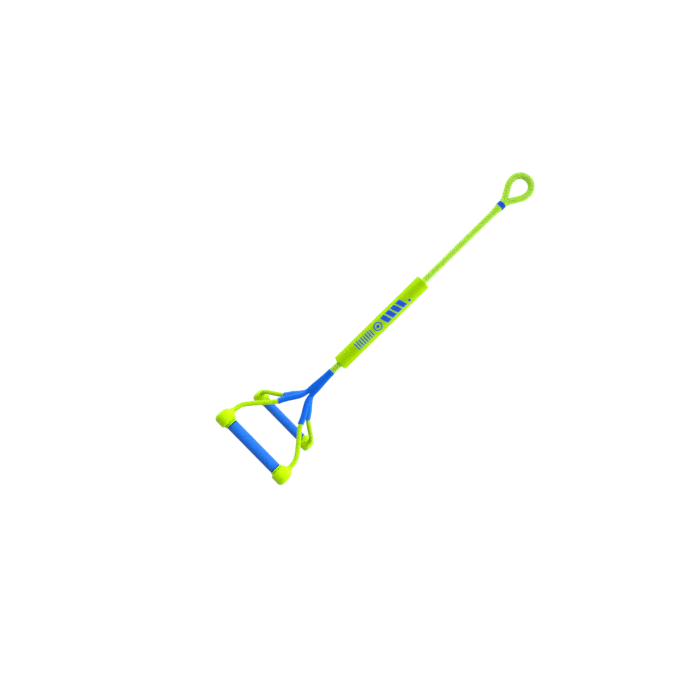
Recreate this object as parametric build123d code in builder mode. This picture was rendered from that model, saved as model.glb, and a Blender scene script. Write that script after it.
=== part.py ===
"""Double tow rope handle: two rope-bridled grips below one yoke, with a sliding foam float on the tow rope.

Millimetres. The handle hangs from its tow eye: +Z is up the rope, X runs along the grips, and the front
handle leans towards -Y. The origin is the inside top of the tow eye, where a hook or the main line bears.
"""

import math
import os

from build123d import *

# ---- Driving dimensions -------------------------------------------------------------------------------
# Tow line, from the top down
rope_diameter = 20.0  # braided tow rope
eye_opening = 48.0  # clear width inside the eye
eye_length = 84.0  # inside top of the eye down to its throat
splice_length = 64.0  # taper where the rope's tail is buried
splice_diameter = 25.0  # doubled rope at the throat
splice_waist = 34.0  # full-thickness stretch of the splice, below the throat
whipping_width = 16.0  # twine binding on the splice
whipping_thickness = 1.4
whipping_edge = 0.55
free_rope = 296.0  # rope between the splice and the float
float_length = 362.0
float_diameter = 49.0
float_edge = 3.5  # rounding of the float's ends
float_bore_gap = 0.3  # radial clearance of the float on the rope
float_to_yoke = 34.0

# Yoke: a tapered sleeve, round at the top and squarish at the mouth where four strands leave it
yoke_length = 95.0
yoke_widths = (22.4, 24.0, 28.4, 32.2, 33.2)  # outside width at even steps down the sleeve
yoke_roundness = 0.96  # corner radius at the top, as a share of half the width
yoke_mouth_roundness = 0.72
yoke_wall = 1.1
fit_gap = 0.1  # radial clearance between pieces pushed over each other
core_depth = 45.0  # how far below the sleeve's top the rope divides

# Bridles
bridle_diameter = 14.0
sleeve_diameter = 18.0
sleeve_lengths = {"front": 82.0, "rear": 91.0}  # along the rope, from the hinge
hinge_gap = 0.3  # the sleeves' round tops run this far below the yoke's mouth
hinge_half_gap = 0.7  # a closed handle's sleeves from the middle plane
leg_half_gap = 0.8  # half the gap between a handle's two sleeves at the hinge
bend_share = 0.45  # how much of its shorter run each bend of a bridle takes up
cap_bend_radius = 13.5  # the rope's turn inside a cap

# Handle bar
grip_length = 172.0
grip_diameter = 29.2
grip_edge = 0.8
tube_diameter = 22.2
tube_wall = 2.0
tube_into_cap = 5.0
collar_flange_width = 3.5
collar_hub_width = 3.5
collar_flange_diameter = 34.0
collar_hub_diameter = 31.0
collar_edge = 1.0
cap_length = 38.0
cap_diameter = 44.0
cap_inner_edge = 5.0  # rounding of the cap's edge beside the collar
cap_outer_edge = 12.0  # rounding of the cap's outer end
cap_channel_gap = 0.2  # radial clearance of the rope in the cap
neck_inset = 20.6  # neck's axis from the cap's inner end
neck_height = 29.0  # neck's lip above the bar's axis
neck_lip_diameter = 16.4
neck_base_height = 17.0
neck_base_diameter = 27.0
bushing_length = 24.0
bushing_inset = 3.0  # bushing's end face inside the tube's end

# ---- Levels that follow -------------------------------------------------------------------------------
throat_z = -eye_length
splice_bottom_z = throat_z - splice_length
float_top_z = splice_bottom_z - free_rope
float_bottom_z = float_top_z - float_length
yoke_top_z = float_bottom_z - float_to_yoke
mouth_z = yoke_top_z - yoke_length
hinge_z = mouth_z - hinge_gap - sleeve_diameter / 2
core_top_z = yoke_top_z - core_depth

grip_end = grip_length / 2
cap_inner_x = grip_end + collar_flange_width + collar_hub_width
cap_outer_x = cap_inner_x + cap_length
tube_end = cap_inner_x + tube_into_cap
tube_bore_radius = tube_diameter / 2 - tube_wall
neck_x = cap_inner_x + neck_inset
hinge_offset = sleeve_diameter / 2 + hinge_half_gap

# One leg's route below the hinge, as (sideways, outwards, down) from the middle of the hinge axis
leg_route = [
    (sleeve_diameter / 2 + leg_half_gap, 0.0, 0.0),
    (14.2, 5.7, 12.2),
    (25.4, 13.6, 28.4),
    (40.0, 23.8, 47.9),
    (50.5, 35.8, 69.2),
    (82.8, 54.9, 98.6),
    (neck_x - 9.0, 73.0, 119.0),
    (neck_x - 2.0, 82.0, 129.0),
    (neck_x, 96.5, 143.3),
    (neck_x, 121.0, 164.8),
]

os.makedirs("parts", exist_ok=True)


def save(name, piece):
    """Label a finished piece and write it as parts/NAME.step."""
    piece.part.label = name
    export_step(piece.part, f"parts/{name}.step")


def bend_radii(points):
    """Each corner's arc on a rope's route: its share of the shorter run, over the tangent of half the turn."""
    corners = [Vector(*point) for point in points]
    radii = []
    for before, corner, after in zip(corners, corners[1:], corners[2:]):
        turn = (corner - before).get_angle(after - corner)
        shorter = min((corner - before).length, (after - corner).length)
        radii.append(bend_share * shorter / math.tan(math.radians(turn) / 2))
    return radii


def widest_rims(piece):
    """The circular edges of the largest radius on a turned piece."""
    return piece.edges().filter_by(GeomType.CIRCLE).group_by(SortBy.RADIUS)[-1]


def across(line):
    """The plane square to a line at its start."""
    return Plane(line @ 0, z_dir=line % 0)


# ---- Tow line -----------------------------------------------------------------------------------------
with BuildPart() as tow_rope:
    with BuildSketch(Plane.XY.offset(core_top_z)):
        Circle(rope_diameter / 2)
    extrude(amount=splice_bottom_z - core_top_z)
save("tow_rope", tow_rope)

# The eye is a teardrop of rope: two straight legs from the throat, tangent to the arc of its crown.
crown_radius = (eye_opening + rope_diameter) / 2
crown_z = -eye_opening / 2
throat_to_crown = crown_z - throat_z
leg_lean = math.degrees(math.asin(crown_radius / throat_to_crown))
crown_plane = Plane(origin=(0, 0, crown_z), x_dir=(1, 0, 0), z_dir=(0, -1, 0))
with BuildPart() as tow_eye:
    with BuildLine(crown_plane):
        crown = CenterArc((0, 0), crown_radius, 90, -90 - leg_lean)
        Line(crown @ 1, (0, -throat_to_crown))
    with BuildSketch(across(crown)):
        Circle(rope_diameter / 2)
    sweep()
    mirror(about=Plane.YZ)
    with BuildSketch(Plane.XZ):
        with BuildLine():
            Polyline(
                (0, splice_bottom_z),
                (rope_diameter / 2, splice_bottom_z),
                (splice_diameter / 2, throat_z - splice_waist),
                (splice_diameter / 2, throat_z),
                (0, throat_z + splice_diameter / 2),
                close=True,
            )
        make_face()
    revolve(axis=Axis.Z)
save("tow_eye", tow_eye)

whipping_inner = splice_diameter / 2 + fit_gap
with BuildPart() as eye_whipping:
    with BuildSketch(Plane.XY.offset(throat_z - splice_waist + whipping_thickness)):
        Circle(whipping_inner + whipping_thickness)
        Circle(whipping_inner, mode=Mode.SUBTRACT)
    extrude(amount=whipping_width)
    fillet(widest_rims(eye_whipping), whipping_edge)
save("eye_whipping", eye_whipping)

with BuildPart() as foam_float:
    with BuildSketch(Plane.XY.offset(float_bottom_z)):
        Circle(float_diameter / 2)
    extrude(amount=float_length)
    fillet(foam_float.edges().filter_by(GeomType.CIRCLE), float_edge)
    with BuildSketch(Plane.XY.offset(float_bottom_z)):
        Circle(rope_diameter / 2 + float_bore_gap)
    extrude(amount=float_length, mode=Mode.SUBTRACT)
save("float", foam_float)


# ---- Yoke ---------------------------------------------------------------------------------------------
def yoke_shape(inset):
    """The yoke's outside, inset all round: a loft from its round top to its squarish mouth."""
    steps = len(yoke_widths) - 1
    with BuildPart() as shape:
        for step, width in enumerate(yoke_widths):
            share = step / steps
            half = width / 2 - inset
            roundness = yoke_roundness + (yoke_mouth_roundness - yoke_roundness) * share
            with BuildSketch(Plane.XY.offset(yoke_top_z - yoke_length * share)):
                RectangleRounded(2 * half, 2 * half, roundness * half)
        loft()
    return shape.part


with BuildPart() as yoke_sleeve:
    add(yoke_shape(0))
    add(yoke_shape(yoke_wall), mode=Mode.SUBTRACT)
save("yoke_sleeve", yoke_sleeve)

with BuildPart() as yoke_core:
    add(yoke_shape(yoke_wall + fit_gap))
    split(bisect_by=Plane.XY.offset(core_top_z), keep=Keep.BOTTOM)
save("yoke_core", yoke_core)


# ---- Handles ------------------------------------------------------------------------------------------
def route_points(side, hand):
    """One leg's route in the part's frame: side is -1 front or 1 rear, hand is -1 left or 1 right."""
    return [
        (hand * sideways, side * (hinge_offset + outwards), hinge_z - down)
        for sideways, outwards, down in leg_route
    ]


def across_bar(bar, along, facing):
    """The plane square to a bar at a distance along it, facing +X (1) or -X (-1)."""
    return Plane(bar.from_local_coords((along, 0, 0)), z_dir=(facing, 0, 0))


collar_bore_radius = tube_diameter / 2 + fit_gap
grip_wall = grip_diameter / 2 - collar_bore_radius

for side_name, side in (("front", -1), ("rear", 1)):
    left_leg = route_points(side, -1)
    right_leg = route_points(side, 1)
    bar_centre = Vector(0, left_leg[-1][1], left_leg[-1][2])
    # The bar's plane has X along the bar and Y up the caps' necks, towards the legs.
    neck_direction = (Vector(*right_leg[-2]) - Vector(*right_leg[-1])).normalized()
    bar = Plane(bar_centre, x_dir=(1, 0, 0), z_dir=Vector(1, 0, 0).cross(neck_direction))
    bar_axis = Axis(bar_centre, (1, 0, 0))

    leg_radii = bend_radii(left_leg)
    whole_route = left_leg + right_leg[::-1]
    whole_radii = leg_radii + [cap_bend_radius] * 2 + leg_radii[::-1]
    with BuildPart() as bridle_rope:
        with BuildLine():
            rope_line = FilletPolyline(*whole_route, radius=whole_radii)
        with BuildSketch(across(rope_line)):
            Circle(bridle_diameter / 2)
        sweep()
        with Locations(left_leg[0], right_leg[0]):
            Sphere(bridle_diameter / 2)
    save(f"{side_name}_bridle_rope", bridle_rope)
    print(side_name, "bridle length", round(rope_line.length, 1))
    print("bend radii", [round(radius, 1) for radius in leg_radii])
    rope_section = math.pi * (bridle_diameter / 2) ** 2
    ends_volume = 2 / 3 * math.pi * (bridle_diameter / 2) ** 3 * 2
    expected_volume = rope_section * rope_line.length + ends_volume
    print("volume", round(bridle_rope.part.volume), "as expected", round(expected_volume))

    with BuildPart() as grip:
        with BuildSketch(bar):
            with Locations((0, collar_bore_radius + grip_wall / 2)):
                Rectangle(grip_length, grip_wall)
        revolve(axis=bar_axis)
        fillet(widest_rims(grip), grip_edge)
    save(f"{side_name}_grip", grip)

    with BuildPart() as bar_tube:
        with BuildSketch(bar):
            with Locations((0, tube_bore_radius + tube_wall / 2)):
                Rectangle(2 * tube_end, tube_wall)
        revolve(axis=bar_axis)
    save(f"{side_name}_bar_tube", bar_tube)

    for hand_name, hand, leg in (("left", -1, left_leg), ("right", 1, right_leg)):
        leg_line = FilletPolyline(*leg, radius=leg_radii)
        sleeved_line = leg_line.trim(0, sleeve_lengths[side_name] / leg_line.length)
        with BuildPart() as sleeve:
            with BuildSketch(across(sleeved_line)):
                Circle(sleeve_diameter / 2)
            sweep(path=sleeved_line)
            with Locations(leg[0]):
                Sphere(sleeve_diameter / 2)
            with BuildSketch(across(leg_line)):
                Circle(bridle_diameter / 2 + fit_gap)
            sweep(path=leg_line, mode=Mode.SUBTRACT)
            with Locations(leg[0]):
                Sphere(bridle_diameter / 2 + fit_gap, mode=Mode.SUBTRACT)
        save(f"{side_name}_{hand_name}_sleeve", sleeve)

        with BuildPart() as collar:
            with BuildSketch(bar):
                with BuildLine():
                    Polyline(
                        (hand * grip_end, collar_bore_radius),
                        (hand * grip_end, collar_flange_diameter / 2),
                        (hand * (grip_end + collar_flange_width), collar_flange_diameter / 2),
                        (hand * (grip_end + collar_flange_width), collar_hub_diameter / 2),
                        (hand * cap_inner_x, collar_hub_diameter / 2),
                        (hand * cap_inner_x, collar_bore_radius),
                        close=True,
                    )
                make_face()
            revolve(axis=bar_axis)
            fillet(widest_rims(collar), collar_edge)
        save(f"{side_name}_{hand_name}_collar", collar)

        with BuildPart() as cap:
            with BuildSketch(bar):
                with Locations((hand * (cap_inner_x + cap_outer_x) / 2, cap_diameter / 4)):
                    Rectangle(cap_length, cap_diameter / 2)
            revolve(axis=bar_axis)
            towards_end = Axis((0, 0, 0), (hand, 0, 0))
            fillet(widest_rims(cap).sort_by(towards_end)[0], cap_inner_edge)
            fillet(widest_rims(cap).sort_by(towards_end)[-1], cap_outer_edge)
            with BuildSketch(bar):
                with BuildLine():
                    Polyline(
                        (hand * neck_x, 0),
                        (hand * neck_x, neck_height),
                        (hand * (neck_x + neck_lip_diameter / 2), neck_height),
                        (hand * (neck_x + neck_base_diameter / 2), neck_base_height),
                        (hand * (neck_x + neck_base_diameter / 2), 0),
                        close=True,
                    )
                make_face()
            revolve(axis=Axis(bar.from_local_coords((hand * neck_x, 0, 0)), neck_direction))
            with BuildLine():
                channel = FilletPolyline(
                    leg[-2],
                    leg[-1],
                    bar.from_local_coords((hand * grip_end, 0, 0)),
                    radius=cap_bend_radius,
                )
            with BuildSketch(across(channel)):
                Circle(bridle_diameter / 2 + cap_channel_gap)
            sweep(mode=Mode.SUBTRACT)
            with BuildSketch(across_bar(bar, hand * cap_inner_x, hand)):
                Circle(collar_bore_radius)
            extrude(amount=tube_into_cap + fit_gap, mode=Mode.SUBTRACT)
        save(f"{side_name}_{hand_name}_cap", cap)

        with BuildPart() as bushing:
            with BuildSketch(across_bar(bar, hand * (tube_end - bushing_inset), -hand)):
                Circle(tube_bore_radius - fit_gap)
                Circle(bridle_diameter / 2 + fit_gap, mode=Mode.SUBTRACT)
            extrude(amount=bushing_length)
        save(f"{side_name}_{hand_name}_bushing", bushing)
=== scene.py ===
"""Double tow rope handle: a braided rope with a foam float, a blue yoke with four sleeved legs, and two
grips with end caps."""

import math

import bpy
import numpy as np
from mathutils import Matrix


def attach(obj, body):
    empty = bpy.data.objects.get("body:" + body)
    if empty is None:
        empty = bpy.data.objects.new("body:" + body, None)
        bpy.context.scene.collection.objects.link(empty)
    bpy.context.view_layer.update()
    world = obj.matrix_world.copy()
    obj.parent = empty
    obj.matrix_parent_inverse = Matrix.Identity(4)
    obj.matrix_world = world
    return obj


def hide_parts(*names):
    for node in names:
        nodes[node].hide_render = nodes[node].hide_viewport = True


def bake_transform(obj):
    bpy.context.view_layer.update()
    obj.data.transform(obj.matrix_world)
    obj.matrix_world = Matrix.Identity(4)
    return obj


MM = 0.001
TAU = 2 * math.pi

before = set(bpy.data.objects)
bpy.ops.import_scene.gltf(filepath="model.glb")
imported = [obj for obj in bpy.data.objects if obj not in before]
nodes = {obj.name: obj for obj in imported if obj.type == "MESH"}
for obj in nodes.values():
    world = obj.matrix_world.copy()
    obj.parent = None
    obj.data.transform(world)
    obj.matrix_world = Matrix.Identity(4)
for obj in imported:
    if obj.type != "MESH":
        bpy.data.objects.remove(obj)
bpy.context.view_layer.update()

# ---- Sizes, in millimetres ----------------------------------------------------------------------------
throat_z = -84.0
splice_bottom_z = -148.0
float_top_z = -444.0
float_bottom_z = -806.0
yoke_top_z = -840.0
core_top_z = -885.0
rope_foot_z = -860.0  # the rope's lower end, inside the yoke
mouth_z = -935.0
hinge_y = 9.7
hinge_z = -944.3
bar_y = 130.7
bar_z = -1109.1

rope_radius = 10.0
rope_strands = 10
rope_pitch = 8.0  # along the rope, from one strand to the next
rope_tracers = [0, 3, 6]  # the strands with grey flecks
splice_radius = 12.5
splice_taper_top_z = -118.0
float_radius = 24.5
float_bore_radius = 10.4
bridle_radius = 7.0
bridle_strands = 8
bridle_pitch = 7.0
bridle_tracers = [1, 5]
sleeve_radius = 9.0
sleeve_root_radius = 7.4  # where a leg's sleeve sits inside the yoke
sleeve_bore_radius = 7.25
sleeve_edge = 0.9  # the rounding of a sleeve's end
sleeve_lengths = {"front": 82.0, "rear": 91.0}
tube_hold_radius = 11.2  # where grips, bands and collars hold the bar tube
grip_radius = 14.6
grip_skin_end = 83.3
band_start = 83.4
band_radius = 14.3
grip_end = 86.0
cap_inner_x = 93.0
cap_outer_x = 131.0
cap_radius = 22.0
neck_x = 113.6
neck_slope = (24.5, 21.5)  # a cap's neck goes this far inwards for this far up

# A leg's route below its hinge, as (sideways, outwards, down) from the middle of the hinge axis
leg_route = [
    (9.8, 0.0, 0.0),
    (14.2, 5.7, 12.2),
    (25.4, 13.6, 28.4),
    (40.0, 23.8, 47.9),
    (50.5, 35.8, 69.2),
    (82.8, 54.9, 98.6),
    (104.6, 73.0, 119.0),
    (111.6, 82.0, 129.0),
    (113.6, 96.5, 143.3),
    (113.6, 121.0, 164.8),
]
# The rope goes on through the bar, and the sleeve goes on up into the yoke.
bar_route = [(81.0, 121.0, 164.8)]
yoke_route = [(7.6, -2.1, -26.0), (7.8, -1.9, -11.0)]
eye_half_route = [(1.5, -108.0), (4.0, -88.0), (20.0, -63.0), (34.0, -38.0), (34.0, -10.0), (14.0, 10.0)]


# ---- Meshes -------------------------------------------------------------------------------------------
x_axis, y_axis, z_axis = np.eye(3)
no_triangles = np.empty((0, 3), int)


def finish_piece(name, points, quads, triangles, material, attributes=None):
    """A smooth mesh object from points in millimetres and the faces of a closed surface. If the volume that
    they enclose comes out negative, every face is turned round, so that they point outwards."""
    halves = np.vstack([quads[:, :3], quads[:, [0, 2, 3]], triangles])
    a, b, c = points[halves.T]
    if (a * np.cross(b, c)).sum() < 0:
        quads, triangles = quads[:, ::-1], triangles[:, ::-1]
    mesh = bpy.data.meshes.new(name)
    corners = np.concatenate([quads.ravel(), triangles.ravel()])
    triangle_starts = len(quads) * 4 + np.arange(len(triangles)) * 3
    starts = np.concatenate([np.arange(len(quads)) * 4, triangle_starts])
    mesh.vertices.add(len(points))
    mesh.vertices.foreach_set("co", (points * MM).ravel())
    mesh.loops.add(len(corners))
    mesh.loops.foreach_set("vertex_index", corners)
    mesh.polygons.add(len(starts))
    mesh.polygons.foreach_set("loop_start", starts)
    mesh.polygons.foreach_set("use_smooth", np.ones(len(starts), bool))
    for attribute, values in (attributes or {}).items():
        layer = mesh.attributes.new(attribute, "FLOAT", "POINT")
        layer.data.foreach_set("value", values)
    mesh.update(calc_edges=True)
    mesh.materials.append(material)
    made = bpy.data.objects.new(name, mesh)
    bpy.context.scene.collection.objects.link(made)
    return made


def skin(name, rings, material, joined=False, attributes=None):
    """A closed surface over rings of points: quads between neighbours round and along. The first and last
    rings are joined, or each is closed by a fan to its own middle."""
    count, around = rings.shape[:2]
    index = np.arange(count * around).reshape(count, around)
    following = np.roll(index, -1, axis=0) if joined else index[1:]
    row = index if joined else index[:-1]
    quads = np.stack([row, np.roll(row, -1, 1), np.roll(following, -1, 1), following], -1).reshape(-1, 4)
    points = rings.reshape(-1, 3)
    attributes = {key: values.ravel() for key, values in (attributes or {}).items()}
    if joined:
        return finish_piece(name, points, quads, no_triangles, material, attributes)
    poles = rings[[0, -1]].mean(axis=1)
    first = np.stack([np.full(around, len(points)), np.roll(index[0], -1), index[0]], -1)
    last = np.stack([np.full(around, len(points) + 1), index[-1], np.roll(index[-1], -1)], -1)
    for key, values in attributes.items():
        ends = [values[:around].mean(), values[-around:].mean()]
        attributes[key] = np.concatenate([values, ends])
    points, triangles = np.vstack([points, poles]), np.vstack([first, last])
    return finish_piece(name, points, quads, triangles, material, attributes)


def slab(name, top, bottom, material):
    """A thin closed plate between two grids of points: both faces, and a wall round their outline."""
    rows, columns = top.shape[:2]
    index = np.arange(rows * columns).reshape(rows, columns)
    squares = [index[:-1, :-1], index[:-1, 1:], index[1:, 1:], index[1:, :-1]]
    upper = np.stack(squares, -1).reshape(-1, 4)
    rim = np.concatenate([index[0, :-1], index[:-1, -1], index[-1, :0:-1], index[:0:-1, 0]])
    low = rows * columns
    following = np.roll(rim, -1)
    wall = np.stack([following, rim, rim + low, following + low], -1)
    quads = np.vstack([upper, upper[:, ::-1] + low, wall])
    points = np.vstack([top.reshape(-1, 3), bottom.reshape(-1, 3)])
    return finish_piece(name, points, quads, no_triangles, material)


def read_spline(points, spacing):
    """Points at an even spacing, in millimetres, along the NURBS spline that the given points control."""
    curve = bpy.data.curves.new("route", "CURVE")
    curve.dimensions = "3D"
    curve.resolution_u = 48
    spline = curve.splines.new("NURBS")
    spline.points.add(len(points) - 1)
    spline.points.foreach_set("co", np.column_stack([points, np.ones(len(points))]).ravel())
    spline.order_u = 3
    spline.use_endpoint_u = True
    holder = bpy.data.objects.new("route", curve)
    mesh = bpy.data.meshes.new_from_object(holder)
    line = np.empty(len(mesh.vertices) * 3)
    mesh.vertices.foreach_get("co", line)
    line = line.reshape(-1, 3)
    bpy.data.objects.remove(holder)
    bpy.data.curves.remove(curve)
    bpy.data.meshes.remove(mesh)
    return along(line, np.arange(0, distances(line)[-1], spacing))


def distances(line):
    """How far each point of a line is from its start, along it."""
    return np.concatenate([[0], np.cumsum(np.linalg.norm(np.diff(line, axis=0), axis=1))])


def along(line, positions):
    """The points of a line at given distances from its start."""
    run = distances(line)
    return np.stack([np.interp(positions, run, line[:, axis]) for axis in range(3)], -1)


def sweep(line, positions, radius, around, reference):
    """Rings round a line: at each distance along it, a circle of that radius square to the line, measured
    from the reference direction. The radius may change along and round."""
    step = 0.5
    centres = along(line, positions)
    ahead = along(line, np.minimum(positions + step, distances(line)[-1]))
    behind = along(line, np.maximum(positions - step, 0))
    tangent = ahead - behind
    tangent /= np.linalg.norm(tangent, axis=1, keepdims=True)
    first = reference - (tangent @ reference)[:, None] * tangent
    first /= np.linalg.norm(first, axis=1, keepdims=True)
    second = np.cross(tangent, first)
    angle = np.arange(around) * TAU / around
    radius = np.broadcast_to(np.asarray(radius), (len(positions), around))[..., None]
    cosine, sine = np.cos(angle)[None, :, None], np.sin(angle)[None, :, None]
    return centres[:, None] + radius * (cosine * first[:, None] + sine * second[:, None])


def smooth_step(low, high, value):
    """0 before low, 1 after high, and an even S between them."""
    share = np.clip((value - low) / (high - low), 0, 1)
    return share * share * (3 - 2 * share)


def rounded_profile(corners, radii, steps=6):
    """A closed outline in (along, radius) with each corner rounded by an arc that meets both its sides."""
    corners = np.asarray(corners, float)
    before = np.roll(corners, 1, 0) - corners
    after = np.roll(corners, -1, 0) - corners
    before /= np.linalg.norm(before, axis=1, keepdims=True)
    after /= np.linalg.norm(after, axis=1, keepdims=True)
    half = np.arccos(np.clip((before * after).sum(1), -1, 1)) / 2
    reach = (np.asarray(radii) / np.tan(half))[:, None, None]
    share = np.linspace(0, 1, steps)[None, :, None]
    middle = corners[:, None]
    start, end = middle + reach * before[:, None], middle + reach * after[:, None]
    return ((1 - share) ** 2 * start + 2 * share * (1 - share) * middle + share**2 * end).reshape(-1, 2)


def refine(outline, spacing):
    """A closed outline with points added so that none are further apart than the spacing."""
    closed = np.vstack([outline, outline[:1]])
    gaps = np.linalg.norm(np.diff(closed, axis=0), axis=1)
    counts = np.maximum(1, np.ceil(gaps / spacing)).astype(int)
    first = np.repeat(np.arange(len(gaps)), counts)
    passed = np.repeat(np.cumsum(counts) - counts, counts)
    share = (np.arange(counts.sum()) - passed) / counts[first]
    return closed[first] + share[:, None] * (closed[first + 1] - closed[first])


# ---- Materials ----------------------------------------------------------------------------------------
def srgb(code):
    """A linear colour from an sRGB hex code."""
    values = np.array([int(code[place : place + 2], 16) for place in (1, 3, 5)]) / 255
    linear = np.where(values <= 0.04045, values / 12.92, ((values + 0.055) / 1.055) ** 2.4)
    return (*(float(value) for value in linear), 1.0)


def add_node(owner, kind, sockets, **settings):
    """A new node in a material or a world, with its settings, and with its inputs set to values or linked
    to other nodes' outputs."""
    made = owner.node_tree.nodes.new(kind)
    for name, value in settings.items():
        setattr(made, name, value)
    for name, value in sockets.items():
        if isinstance(value, bpy.types.NodeSocket):
            owner.node_tree.links.new(value, made.inputs[name])
        else:
            made.inputs[name].default_value = value
    return made


def map_range(owner, value, low, high, to_low, to_high):
    """A value whose range from low to high is carried over to another range."""
    sockets = {"Value": value, "From Min": low, "From Max": high, "To Min": to_low, "To Max": to_high}
    return add_node(owner, "ShaderNodeMapRange", sockets).outputs[0]


def mix_colours(owner, share, first, second):
    """The first colour where the share is 0, and the second where it is 1."""
    return add_node(owner, "ShaderNodeMix", {0: share, 6: first, 7: second}, data_type="RGBA").outputs[2]


def noise(owner, patch_mm, detail):
    """Soft noise through the piece, from 0 to 1, in patches of a size in millimetres."""
    place = add_node(owner, "ShaderNodeTexCoord", {})
    sockets = {"Vector": place.outputs["Object"], "Scale": 1000 / patch_mm, "Detail": detail}
    return add_node(owner, "ShaderNodeTexNoise", sockets).outputs["Fac"]


def fine_relief(material, shader, height, depth_mm):
    """Relief too fine for the mesh, from a height and the depth in millimetres that it stands for."""
    sockets = {"Height": height, "Strength": 0.3, "Distance": depth_mm * MM}
    made = add_node(material, "ShaderNodeBump", sockets)
    material.node_tree.links.new(made.outputs[0], shader.inputs["Normal"])


def new_material(name, **surface):
    """A material and its surface shader, with the shader's plain numbers and tints set."""
    material = bpy.data.materials.new(name)
    material.use_nodes = True
    shader = material.node_tree.nodes["Principled BSDF"]
    for socket, value in surface.items():
        shader.inputs[socket.replace("_", " ")].default_value = value
    return material, shader


def braided_polyester(name, yarn, shaded, tracer):
    """Braided polyester multifilament: matt, with a soft sheen, fine filaments along each strand, painted
    shade in the shaded colour between the strands, and tracer strands of another colour."""
    material, shader = new_material(
        name,
        Roughness=0.65,
        Specular_IOR_Level=0.12,
        Specular_Tint=srgb(yarn),
        Sheen_Weight=0.06,
        Sheen_Roughness=0.5,
        Sheen_Tint=srgb(tracer),
    )
    is_tracer, relief, across = (
        add_node(material, "ShaderNodeAttribute", {}, attribute_name=attribute).outputs["Fac"]
        for attribute in ("tracer", "relief", "across")
    )
    yarns = mix_colours(material, is_tracer, srgb(yarn), srgb(tracer))
    # Painted shade: the strands' low places, where the braid's relief is least, take the shaded colour.
    depth = map_range(material, relief, 0.0, 0.6, 1.0, 0.0)
    painted_groove_shade = mix_colours(material, depth, yarns, srgb(shaded))
    # Dye takes unevenly over a few millimetres of yarn.
    dye = map_range(material, noise(material, 3.85, 3.0), 0.3, 0.7, 0.94, 1.04)
    tinted = add_node(material, "ShaderNodeVectorMath", {0: painted_groove_shade, 1: dye}, operation="MULTIPLY")
    material.node_tree.links.new(tinted.outputs[0], shader.inputs["Base Color"])
    # Six bundles of filament across a strand, drawn coarser than the real ones so that they show.
    bundle = add_node(material, "ShaderNodeMath", {0: across, 1: 6 * math.pi}, operation="MULTIPLY")
    wave = add_node(material, "ShaderNodeMath", {0: bundle.outputs[0]}, operation="SINE")
    fine_relief(material, shader, wave.outputs[0], 0.12)
    return material


def mottled(name, light, dark, patch_mm, grain_mm, grain_depth_mm, rough, **surface):
    """A moulded or foamed surface: two near shades in soft patches, roughness that varies with them, and a
    fine grain of the given size and depth. Real grains are a few tenths of a millimetre wide, and these are
    drawn coarser so that they show."""
    material, shader = new_material(name, **surface)
    links = material.node_tree.links
    patch = noise(material, patch_mm, 4.0)
    light_share = map_range(material, patch, 0.35, 0.65, 0.0, 1.0)
    links.new(mix_colours(material, light_share, srgb(dark), srgb(light)), shader.inputs["Base Color"])
    worn = map_range(material, patch, 0.0, 1.0, rough + 0.08, rough - 0.08)
    links.new(worn, shader.inputs["Roughness"])
    fine_relief(material, shader, noise(material, grain_mm, 2.0), grain_depth_mm)
    return material


lime_glint = {"Specular_IOR_Level": 0.12, "Specular_Tint": srgb("#C8FF30")}
blue_glint = {"Specular_IOR_Level": 0.2, "Specular_Tint": srgb("#70C8FF")}
tube_glint = {**blue_glint, "Specular_IOR_Level": 0.25}
foam_sheen = {"Sheen_Weight": 0.7, "Sheen_Roughness": 0.4, "Sheen_Tint": srgb("#FFF030")}

# Tow rope: lime yarn broken up by paler, greyer flecks, with painted shade between the strands.
fleck_rope = braided_polyester("braided_polyester_lime_grey_fleck", "#A2DA2C", "#8EC826", "#A8D068")
# Bridle rope: nearly one even yellow-lime, with the braid only just showing through faint painted shade
# between the strands.
lime_rope = braided_polyester("braided_polyester_yellow_lime", "#A2D206", "#8ABA04", "#A8D80C")
# Whipping twine: waxed, with painted shade between its turns.
twine = braided_polyester("waxed_polyester_twine_blue", "#1A5CD0", "#12306E", "#1A5CD0")
# Closed-cell EVA foam with a cut skin: dull, with faint cells, and paler and yellower towards its edges.
foam = mottled("eva_foam_lime", "#9AD000", "#96CA00", 14.0, 2.4, 0.07, 0.78, **lime_glint, **foam_sheen)
# Screen ink on foam: a flat film that follows the foam's cells.
ink = mottled(
    "screen_print_ink_blue", "#0F54D8", "#0C4CC8", 8.0, 2.4, 0.08, 0.6, Specular_IOR_Level=0.2
)
# Polyolefin tube shrunk over rope: satin, with a clean skin that glints sky blue.
shrink_tube = mottled(
    "polyolefin_shrink_tube_blue", "#1062DE", "#0C5CD2", 9.0, 2.2, 0.06, 0.34, **tube_glint
)
# The rear handle's sleeves: the same tube in a paler blue, painted light for the stronger light that falls
# on them.
painted_light_shrink_tube = mottled(
    "polyolefin_shrink_tube_painted_light_blue", "#2084E6", "#1C7CDC", 9.0, 2.2, 0.06, 0.34, **tube_glint
)
# Moulded EVA grip: matt, with a pebbled skin.
grip_skin = mottled("moulded_eva_grip_blue", "#2470E0", "#206AD8", 10.0, 1.6, 0.08, 0.5, **blue_glint)
# Moulded thermoplastic rubber: satin, with the mould's fine spark texture.
cap_rubber = mottled("moulded_rubber_lime", "#B2E802", "#ACE202", 12.0, 1.2, 0.05, 0.42, **lime_glint)
# A navy band that ends each grip in a dark line: painted shade for the gap at the grip's end.
painted_shade_band = mottled(
    "painted_shade_band_navy", "#0C2E8C", "#0A2676", 8.0, 1.2, 0.04, 0.5, Specular_IOR_Level=0.2
)
# Seizing: dark navy and dull, painted shade so that the yoke's mouth reads as deep.
seizing = mottled("seizing_painted_shade_navy", "#12306E", "#0E2658", 6.0, 1.5, 0.2, 0.7)
# Bar tubes: bright drawn metal, seen only inside the caps and grips.
aluminium = mottled("drawn_aluminium_tube", "#D4D6D8", "#C6C9CC", 7.0, 0.6, 0.02, 0.34, Metallic=1.0)
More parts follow.
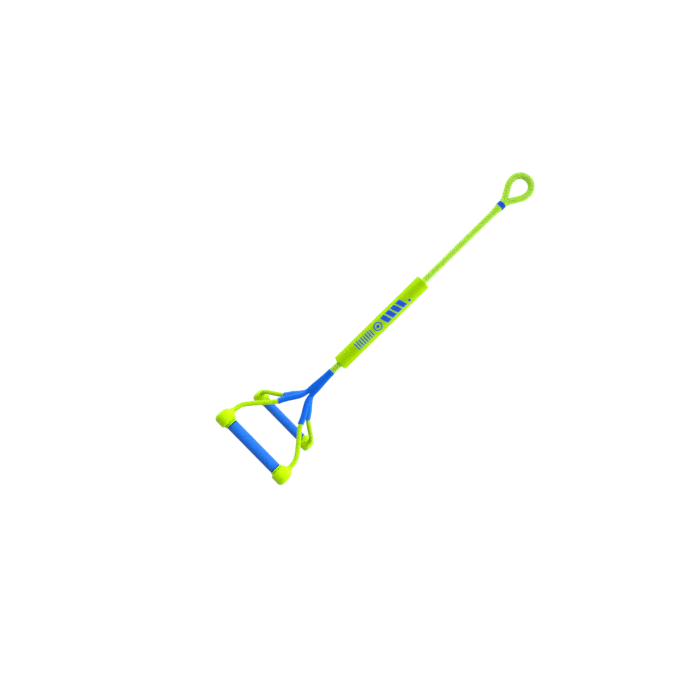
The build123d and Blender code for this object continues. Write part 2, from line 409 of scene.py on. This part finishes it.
# Bushings: smooth black plastic that sets the rope off from the tube.
nylon = mottled("moulded_nylon_black", "#232426", "#1B1C1E", 6.0, 0.8, 0.04, 0.45)


# ---- Rope ---------------------------------------------------------------------------------------------
edge_fall = 0.92  # at its edges a strand keeps the square root of 1 less this of its height
weave_rise = 0.4  # how far a strand rises and falls as it crosses, in half ellipses
strand_share = 0.085  # the braid's relief as a share of the rope's radius
level_share = 0.75  # how much of the relief lies below the rope's radius


def rope(name, line, start, end, radius, strands, pitch, tracers, reference, material):
    """A braided rope along a line. Two families of strands wind opposite ways. Each strand is a half
    ellipse across, and rises and falls along as it passes over and under; the surface is the higher one."""
    around = 8 * strands
    positions = np.arange(start, end, pitch / 8)
    turn = strands * np.arange(around) / around
    climb = (positions / pitch)[:, None]
    first, second = turn + climb, turn - climb
    across_first, across_second = 2 * (first % 1) - 1, 2 * (second % 1) - 1
    over = np.where((np.floor(first) + np.floor(second)) % 2 < 1, weave_rise, -weave_rise)
    high_first = np.sqrt(1 - across_first**2 * edge_fall) + over * np.cos(across_second * math.pi / 2)
    high_second = np.sqrt(1 - across_second**2 * edge_fall) - over * np.cos(across_first * math.pi / 2)
    on_first = high_first > high_second
    high = np.maximum(high_first, high_second)
    carrier = np.where(on_first, np.floor(first), np.floor(second) + 2) % strands
    relief = (high - high.min()) / (high.max() - high.min())
    level = radius(positions)[:, None]
    surface = level + strand_share * level * (relief - level_share)
    attributes = {
        "relief": relief,
        "across": np.where(on_first, across_first, across_second),
        "tracer": np.isin(carrier, tracers).astype(float),
    }
    rings = sweep(line, positions, surface, around, reference)
    return skin(name, rings, material, attributes=attributes)


tow_line = read_spline([(0, 0, z) for z in (rope_foot_z, -700.0, -420.0, -150.0, throat_z)], 2.0)
tow_length = distances(tow_line)[-1]


def tow_radius(position):
    """The rope's radius, rising to the splice's over its taper."""
    height = rope_foot_z + position
    taper = smooth_step(splice_bottom_z, splice_taper_top_z, height)
    return rope_radius + (splice_radius - rope_radius) * taper


tow_rope = rope(
    "tow_rope_braid",
    tow_line,
    0.0,
    tow_length,
    tow_radius,
    rope_strands,
    rope_pitch,
    rope_tracers,
    x_axis,
    fleck_rope,
)
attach(tow_rope, "tow_line")
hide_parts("tow_rope")

eye_route = [(-x, 0, z) for x, z in eye_half_route] + [(x, 0, z) for x, z in eye_half_route[::-1]]
eye_line = read_spline(eye_route, 1.0)
eye = rope(
    "tow_eye_braid",
    eye_line,
    0.0,
    distances(eye_line)[-1],
    lambda position: np.full(len(position), rope_radius),
    rope_strands,
    rope_pitch,
    rope_tracers,
    y_axis,
    fleck_rope,
)
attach(eye, "tow_line")
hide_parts("tow_eye")

# Whipping: one twine wound in close turns, each a half round across, that sinks into the rope at both ends.
whipping_turns = 11
twine_width = 1.45
whipping_low_z = -116.6
height = np.linspace(0, whipping_turns * twine_width, whipping_turns * 8 + 1)
angle = np.arange(96) / 96
wound = (height[:, None] / twine_width - angle) % 1 * 2 - 1
ridge = np.sqrt(1 - wound**2 * 0.96)
ends = smooth_step(0, 0.8, height) * smooth_step(0, 0.8, height[-1] - height)
whip_line = np.array([(0, 0, whipping_low_z), (0, 0, whipping_low_z + height[-1])])
whip_radius = splice_radius - 0.8 + ends[:, None] * (1.0 + 0.9 * ridge)
whipping = skin(
    "splice_whipping",
    sweep(whip_line, height, whip_radius, 96, x_axis),
    twine,
    # The ridge between the turns sets the painted shade there.
    attributes={"relief": ridge, "across": wound, "tracer": np.zeros_like(ridge)},
)
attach(whipping, "tow_line")
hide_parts("eye_whipping")


# ---- Float --------------------------------------------------------------------------------------------
def turned(name, outline, centre, direction, reference, around, material):
    """A turned piece: a closed outline in (along, radius), carried round a line through the centre."""
    reach = 400
    line = np.array([centre - reach * direction, centre + reach * direction])
    rings = sweep(line, reach + outline[:, 0], outline[:, 1][:, None], around, reference)
    return skin(name, rings, material, joined=True)


float_middle = np.array([0, 0, (float_top_z + float_bottom_z) / 2])
half_float = (float_top_z - float_bottom_z) / 2
# Each end bulges by a millimetre, where the foam was cut.
float_outline = refine(
    rounded_profile(
        [
            (-half_float + 0.2, float_bore_radius),
            (-half_float, 17.5),
            (-half_float + 1.4, float_radius),
            (half_float - 1.4, float_radius),
            (half_float, 17.5),
            (half_float - 0.2, float_bore_radius),
        ],
        [1.2, 20.0, 3.6, 3.6, 20.0, 1.2],
    ),
    6.0,
)
# The foam isn't quite even: its skin wavers by a third of a millimetre over a hand's width.
outside = float_outline[:, 1] > float_bore_radius + 8
waver = np.sin(float_outline[:, 0] / 19) + np.sin(float_outline[:, 0] / 31 + 1)
float_outline[:, 1] += outside * 0.15 * waver
foam_float = turned("foam_float", float_outline, float_middle, z_axis, -y_axis, 96, foam)
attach(foam_float, "float")
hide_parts("float")


film_low, film_high = float_radius - 0.5, float_radius + 0.45


def on_float(sideways, upwards, radius):
    """Points on a cylinder about the rope, from how far round it they are from its front, and how high."""
    angle = sideways / float_radius
    return np.stack(np.broadcast_arrays(radius * np.sin(angle), -radius * np.cos(angle), upwards), -1)


def printed(name, sideways, upwards):
    """A shape printed on the float: a grid of sideways and upwards positions, laid round it as a film."""
    film = slab(name, on_float(sideways, upwards, film_high), on_float(sideways, upwards, film_low), ink)
    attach(film, "float")


across_patch, up_patch = np.meshgrid(np.linspace(-1, 1, 25), np.linspace(-1, 1, 25))
print_middle = 1.0  # sideways


def bar(name, middle, thickness, width, slope):
    """A bar across the float, rising evenly by twice the slope from one side to the other."""
    upwards = middle + slope * across_patch + up_patch * thickness / 2
    printed(name, print_middle + across_patch * width / 2, upwards)


def disc(name, sideways, middle, radius):
    """A disc: a square grid whose rows and columns are drawn in to the circle towards its corners."""
    printed(
        name,
        sideways + radius * across_patch * np.sqrt(1 - up_patch**2 / 2),
        middle + radius * up_patch * np.sqrt(1 - across_patch**2 / 2),
    )


def ring(name, sideways, middle, outer, inner):
    """A flat ring: a small rectangle of film, from the inner radius to the outer, carried round."""
    turn = np.arange(96)[:, None] * TAU / 96
    share = np.array([0, 0.5, 1, 1, 0.5, 0])
    film = np.array([film_high] * 3 + [film_low] * 3)
    radius = inner + (outer - inner) * share
    rings = on_float(sideways + radius * np.sin(turn), middle + radius * np.cos(turn), film)
    made = skin(name, rings, ink, joined=True)
    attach(made, "float")


disc("float_print_dot", 11.5, -516.0, 4.6)
for number, middle in enumerate((-541.0, -563.0, -585.0, -607.0)):
    bar(f"float_print_block_{number + 1}", middle, 16.5, 29.0, 4.5)
ring("float_print_ring", print_middle, -640.0, 14.4, 10.8)
disc("float_print_ring_dot", print_middle, -640.0, 5.2)
for number in range(8):
    bar(f"float_print_rung_{number + 1}", -667.0 - 8.8 * number, 3.2, 27.0, 0.0)


# ---- Yoke ---------------------------------------------------------------------------------------------
# Shares of the way down, and the half width at each
yoke_half_widths = [0, 0.25, 0.5, 0.75, 1], [11.2, 12.0, 14.2, 16.1, 16.6]


def yoke_outline(height, inset):
    """The yoke's cross-section at each height: from a circle at its top to a rounded square at its mouth,
    drawn in a little between the four legs that it holds."""
    share = (yoke_top_z - height) / (yoke_top_z - mouth_z)
    half_width = np.interp(share, *yoke_half_widths)[:, None] - inset
    angle = np.arange(128) * TAU / 128
    power = 2 + 1.5 * smooth_step(0.15, 1.0, share)[:, None]
    radius = half_width / (np.abs(np.cos(angle)) ** power + np.abs(np.sin(angle)) ** power) ** (1 / power)
    pinch = smooth_step(0.15, 0.9, share)[:, None] * 2.0 * np.abs(np.cos(2 * angle)) ** 4
    return radius - pinch


yoke_wall = 1.1
outer_heights = np.linspace(yoke_top_z, mouth_z, 90)
inner_heights = outer_heights[::-1]
# The rims are half round: each ring of the lip is further in, and its rise follows a half sine.
lip = np.sin(np.linspace(0, math.pi, 7))[1:-1] * 0.5
lip_inset = np.linspace(0, yoke_wall, 7)[1:-1]
yoke_radius = np.vstack(
    [
        yoke_outline(outer_heights, 0.0),
        yoke_outline(np.full(5, mouth_z), lip_inset[:, None]),
        yoke_outline(inner_heights, yoke_wall),
        yoke_outline(np.full(5, yoke_top_z), lip_inset[::-1, None]),
    ]
)
yoke_heights = np.concatenate([outer_heights, mouth_z - lip, inner_heights, yoke_top_z + lip])
# The tube shrinks in faint rings where it grips the rope.
ripple = 0.12 * np.sin(yoke_heights / 2.3) * smooth_step(mouth_z + 30, yoke_top_z, yoke_heights)
yoke_line_top = yoke_top_z + 50
yoke_line = np.array([(0, 0, yoke_line_top), (0, 0, mouth_z - 50)])
yoke_rings = sweep(yoke_line, yoke_line_top - yoke_heights, yoke_radius + ripple[:, None], 128, x_axis)
yoke = skin("yoke_tube", yoke_rings, shrink_tube, joined=True)
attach(yoke, "tow_line")
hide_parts("yoke_sleeve")

# Seizing: the four rope tails, bound together inside the yoke in turns of twine.
seizing_heights = np.linspace(core_top_z, mouth_z + 15, 60)
seizing_turns = 0.4 * np.abs(np.sin(seizing_heights))
seizing_radius = yoke_outline(seizing_heights, yoke_wall + 0.3) - seizing_turns[:, None]
seizing_rings = sweep(yoke_line, yoke_line_top - seizing_heights, seizing_radius, 128, x_axis)
# Its dark navy colour is painted shade inside the yoke's mouth.
bound = skin("yoke_seizing", seizing_rings, seizing)
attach(bound, "tow_line")
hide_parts("yoke_core")


# ---- Handles ------------------------------------------------------------------------------------------
def placed(route, side, hand):
    """A route's points in the part's frame: side is -1 front or 1 rear, hand is -1 left or 1 right."""
    return [(hand * x, side * (hinge_y + outwards), hinge_z - down) for x, outwards, down in route]


outer_shoulder, inner_shoulder = 12.0, 5.0
neck_top = 29.0
neck_radii = [0, 16.0, 22.0, 26.5, 28.4], [14.5, 13.2, 10.4, 8.6, 8.9]  # heights, and the radius at each
melt = 4.5  # how far each side of their crossing the cap and its neck melt together


def cap_distance(along_bar, up_neck, beside):
    """Signed distance from a cap's surface: a cylinder with rounded shoulders, melted into a neck that
    narrows to its lip, with a raised parting line all round and a dimple where the rope goes in."""
    from_axis = np.hypot(up_neck, beside)
    shoulder = np.where(along_bar > 0, outer_shoulder, inner_shoulder)
    past_end = np.abs(along_bar) - (cap_outer_x - cap_inner_x) / 2 + shoulder
    past_side = from_axis - cap_radius + shoulder
    bulb = np.hypot(np.maximum(past_end, 0), np.maximum(past_side, 0)) - shoulder
    bulb += np.minimum(np.maximum(past_end, past_side), 0)
    neck_offset = along_bar - (neck_x - (cap_inner_x + cap_outer_x) / 2)
    from_neck = np.hypot(neck_offset, beside)
    # The neck's side slopes, so its distance is a little less than it measures level.
    side = (from_neck - np.interp(up_neck, *neck_radii)) * 0.9
    neck = np.maximum(np.maximum(side, up_neck - neck_top), -up_neck)
    mix = np.clip(0.5 + (neck - bulb) / (2 * melt), 0, 1)
    body = neck + (bulb - neck) * mix - melt * mix * (1 - mix)
    parting_line = np.exp(-((beside / 0.7) ** 2)) * (up_neck < neck_top - 2)
    dimple = np.exp(-((np.maximum(from_neck - 6.4, 0) / 0.6) ** 2)) * (up_neck > neck_top - 3)
    return body - 0.16 * parting_line + 1.1 * dimple


def cap_rings(centre, hand, neck, beside):
    """A cap's surface as rings round its neck's direction: along each ray from its middle, where the signed
    distance is zero, found by halving. The rings are closest together at the neck."""
    tilt = math.pi * np.linspace(0, 1, 121)[1:-1, None] ** 1.25
    turn = np.arange(144)[None] * TAU / 144
    level = np.sin(tilt)
    ray = np.stack(np.broadcast_arrays(level * np.cos(turn), np.cos(tilt), level * np.sin(turn)), -1)
    near, far = np.full(ray.shape[:2], 4.0), np.full(ray.shape[:2], 42.0)
    for _ in range(28):
        middle = (near + far) / 2
        inside = cap_distance(*np.moveaxis(ray * middle[..., None], -1, 0)) < 0
        near, far = np.where(inside, middle, near), np.where(inside, far, middle)
    axes = np.array([hand * x_axis, neck, beside])
    return centre + (ray * middle[..., None]) @ axes


# Outlines as (along the bar, radius), each with its corners' rounding. The collar has two rings.
collar_corners = [
    (86.1, tube_hold_radius),
    (86.1, 17.0),
    (88.9, 17.0),
    (88.9, 13.4),
    (90.1, 13.4),
    (90.1, 16.4),
    (92.0, 16.4),
    (92.0, 13.4),
    (93.4, 13.4),
    (93.4, tube_hold_radius),
]
collar_rounding = [0.2, 1.0, 0.9, 0.3, 0.3, 0.7, 0.7, 0.3, 0.2, 0.2]
band_corners = [
    (band_start, tube_hold_radius),
    (band_start, band_radius),
    (grip_end, band_radius),
    (grip_end, tube_hold_radius),
]
band_rounding = [0.2, 0.8, 0.8, 0.2]



def coat(node, material):
    """Gives a CAD piece that keeps its own mesh a material."""
    node.data.materials.clear()
    node.data.materials.append(material)


for side_name, side in (("front", -1), ("rear", 1)):
    handle = f"{side_name}_handle"
    whole_route = placed(leg_route + bar_route, side, -1) + placed(leg_route + bar_route, side, 1)[::-1]
    bridle_line = read_spline(whole_route, 0.8)
    hidden = 30.0  # the rope's end inside its sleeve, below the hinge
    bridle = rope(
        f"{side_name}_bridle_braid",
        bridle_line,
        hidden,
        distances(bridle_line)[-1] - hidden,
        lambda position: np.full(len(position), bridle_radius),
        bridle_strands,
        bridle_pitch,
        bridle_tracers,
        np.array([0, -side * 0.66, -0.75]),
        lime_rope,
    )
    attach(bridle, handle)
    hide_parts(f"{side_name}_bridle_rope")

    inwards, upwards = neck_slope
    neck = np.array([0, -side * inwards, upwards]) / math.hypot(inwards, upwards)
    bar_centre = np.array([0, side * bar_y, bar_z])
    half_grip = [(grip_skin_end, tube_hold_radius), (grip_skin_end, grip_radius)]
    grip_corners = [(-x, radius) for x, radius in half_grip] + half_grip[::-1]
    grip_outline = refine(rounded_profile(grip_corners, [0.3, 0.9, 0.9, 0.3]), 4.0)
    grip = turned(f"{side_name}_grip_skin", grip_outline, bar_centre, x_axis, neck, 96, grip_skin)
    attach(grip, handle)
    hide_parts(f"{side_name}_grip")

    for hand_name, hand in (("left", -1), ("right", 1)):
        sleeve_line = read_spline(placed(yoke_route + leg_route, side, hand), 0.8)
        run = distances(sleeve_line)
        at_hinge = np.interp(-hinge_z, -sleeve_line[:, 2], run)
        at_mouth = np.interp(-mouth_z, -sleeve_line[:, 2], run)
        end = at_hinge + sleeve_lengths[side_name]
        out = np.arange(0, end - 1.0, 1.0)
        swell = smooth_step(at_mouth - 1.0, at_mouth + 30.0, out)
        outer = sleeve_root_radius + (sleeve_radius - sleeve_root_radius) * swell
        # Faint creases where the tube bends.
        creases = np.sin(out * 1.1) + np.sin(out * 1.7 + side + hand)
        in_bend = smooth_step(at_mouth, at_mouth + 10, out) * (1 - smooth_step(end - 40, end, out))
        outer += 0.05 * creases * in_bend
        # A squared end with a soft edge, then the tube's inside, back up over the rope.
        edge = np.linspace(0, 1, 6)
        edge_out = end - sleeve_edge + sleeve_edge * np.sin(edge * math.pi / 2)
        edge_radius = sleeve_radius - sleeve_edge + sleeve_edge * np.cos(edge * math.pi / 2)
        positions = np.concatenate([out, edge_out, end - edge * 14.0 - 0.1])
        radii = np.concatenate([outer, edge_radius, np.full(6, sleeve_bore_radius)])
        sleeve = skin(
            f"{side_name}_{hand_name}_sleeve_tube",
            sweep(sleeve_line, positions, radii[:, None], 64, x_axis),
            # The rear sleeves take the paler copy of the tube: painted light.
            shrink_tube if side < 0 else painted_light_shrink_tube,
        )
        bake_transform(sleeve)
        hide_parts(f"{side_name}_{hand_name}_sleeve")

        collar_outline = refine(rounded_profile(collar_corners, collar_rounding), 2.0)
        collar_outline = collar_outline[::hand] * [hand, 1]
        collar = turned(
            f"{side_name}_{hand_name}_collar_ring", collar_outline, bar_centre, x_axis, neck, 96, cap_rubber
        )
        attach(collar, handle)
        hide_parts(f"{side_name}_{hand_name}_collar")

        # The navy band at each grip end is painted shade for the gap there.
        band_outline = refine(rounded_profile(band_corners, band_rounding), 2.0)
        band_outline = band_outline[::hand] * [hand, 1]
        band = turned(
            f"{side_name}_{hand_name}_grip_shade_band", band_outline, bar_centre, x_axis, neck, 96, painted_shade_band
        )
        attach(band, handle)

        cap_centre = bar_centre + hand * (cap_inner_x + cap_outer_x) / 2 * x_axis
        beside = np.cross(x_axis, neck)
        rings = cap_rings(cap_centre, hand, neck, beside)
        cap = skin(f"{side_name}_{hand_name}_cap_moulding", rings[:, ::-hand], cap_rubber)
        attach(cap, handle)
        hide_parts(f"{side_name}_{hand_name}_cap")
        coat(nodes[f"{side_name}_{hand_name}_bushing"], nylon)
    coat(nodes[f"{side_name}_bar_tube"], aluminium)

# ---- Stage --------------------------------------------------------------------------------------------
floor_z = -1.6
floor_mesh = bpy.data.meshes.new("studio_floor")
floor_corners = [(x, y, floor_z) for x, y in ((-30, -30), (30, -30), (30, 30), (-30, 30))]
floor_mesh.from_pydata(floor_corners, [], [(0, 1, 2, 3)])
floor = bpy.data.objects.new("studio_floor", floor_mesh)
bpy.context.scene.collection.objects.link(floor)
floor_paint, floor_shader = new_material("matt_white_studio_paint", Roughness=0.9)
floor_shader.inputs["Base Color"].default_value = srgb("#A8A8A8")
# The camera sees the floor pure white, while its paint throws soft light up.
seen = add_node(floor_paint, "ShaderNodeLightPath", {})
glow = add_node(floor_paint, "ShaderNodeEmission", {"Color": srgb("#FFFFFF"), "Strength": 1.05})
lit = add_node(
    floor_paint,
    "ShaderNodeMixShader",
    {0: seen.outputs["Is Camera Ray"], 1: floor_shader.outputs[0], 2: glow.outputs[0]},
)
floor_output = floor_paint.node_tree.nodes["Material Output"]
floor_paint.node_tree.links.new(lit.outputs[0], floor_output.inputs["Surface"])
floor_mesh.materials.append(floor_paint)


def panel(name, place, target, width, height, watts):
    """A soft rectangular light at a place, in metres, facing a target."""
    light = bpy.data.lights.new(name, "AREA")
    light.shape = "RECTANGLE"
    light.size, light.size_y = width, height
    light.energy = watts
    made = bpy.data.objects.new(name, light)
    towards = np.array(target) - np.array(place)
    back = -towards / np.linalg.norm(towards)
    right = np.cross([0.0, 1.0, 0.001], back)
    right /= np.linalg.norm(right)
    matrix = np.eye(4)
    matrix[:3, :3] = np.column_stack([right, np.cross(back, right), back])
    matrix[:3, 3] = place
    made.matrix_world = Matrix(matrix.tolist())
    made.visible_camera = False
    bpy.context.scene.collection.objects.link(made)


panel("softbox_above", (0.1, -1.1, 2.2), (0, 0, -1.0), 2.2, 1.6, 72)
panel("softbox_left", (-1.4, 0.0, -0.3), (0, 0, -0.85), 0.6, 1.4, 25)
panel("softbox_right", (1.4, 0.0, -0.3), (0, 0, -0.85), 0.6, 1.4, 25)
panel("softbox_front", (0.0, -1.6, -0.5), (0, 0, -1.0), 0.8, 0.8, 7)
panel("softbox_behind", (0.0, 1.4, -0.1), (0, 0, -0.8), 1.6, 1.0, 14)

world = bpy.data.worlds.new("studio")
world.use_nodes = True
bpy.context.scene.world = world
sky = world.node_tree.nodes["Background"]
ray = add_node(world, "ShaderNodeLightPath", {})
strength = map_range(world, ray.outputs["Is Camera Ray"], 0.0, 1.0, 0.18, 1.05)
sky.inputs["Color"].default_value = srgb("#FFFFFF")
world.node_tree.links.new(strength, sky.inputs["Strength"])

# ---- Camera: level, square to the rope, and rolled so that the rope runs to the upper right ------------
camera_data = bpy.data.cameras.new("camera")
camera_data.sensor_width = 36.0
camera_data.lens = 19.75
camera_data.shift_x = -0.0790
camera_data.shift_y = -0.0531
camera_data.clip_end = 60.0
camera = bpy.data.objects.new("camera", camera_data)
camera.matrix_world = Matrix(
    (
        (0.7004, -0.7137, 0.0, 0.0298),
        (0.0, 0.0, -1.0, -1.1904),
        (0.7137, 0.7004, 0.0, -0.5521),
        (0.0, 0.0, 0.0, 1.0),
    )
)
bpy.context.scene.collection.objects.link(camera)
bpy.context.scene.camera = camera
bpy.context.scene.view_settings.view_transform = "Standard"
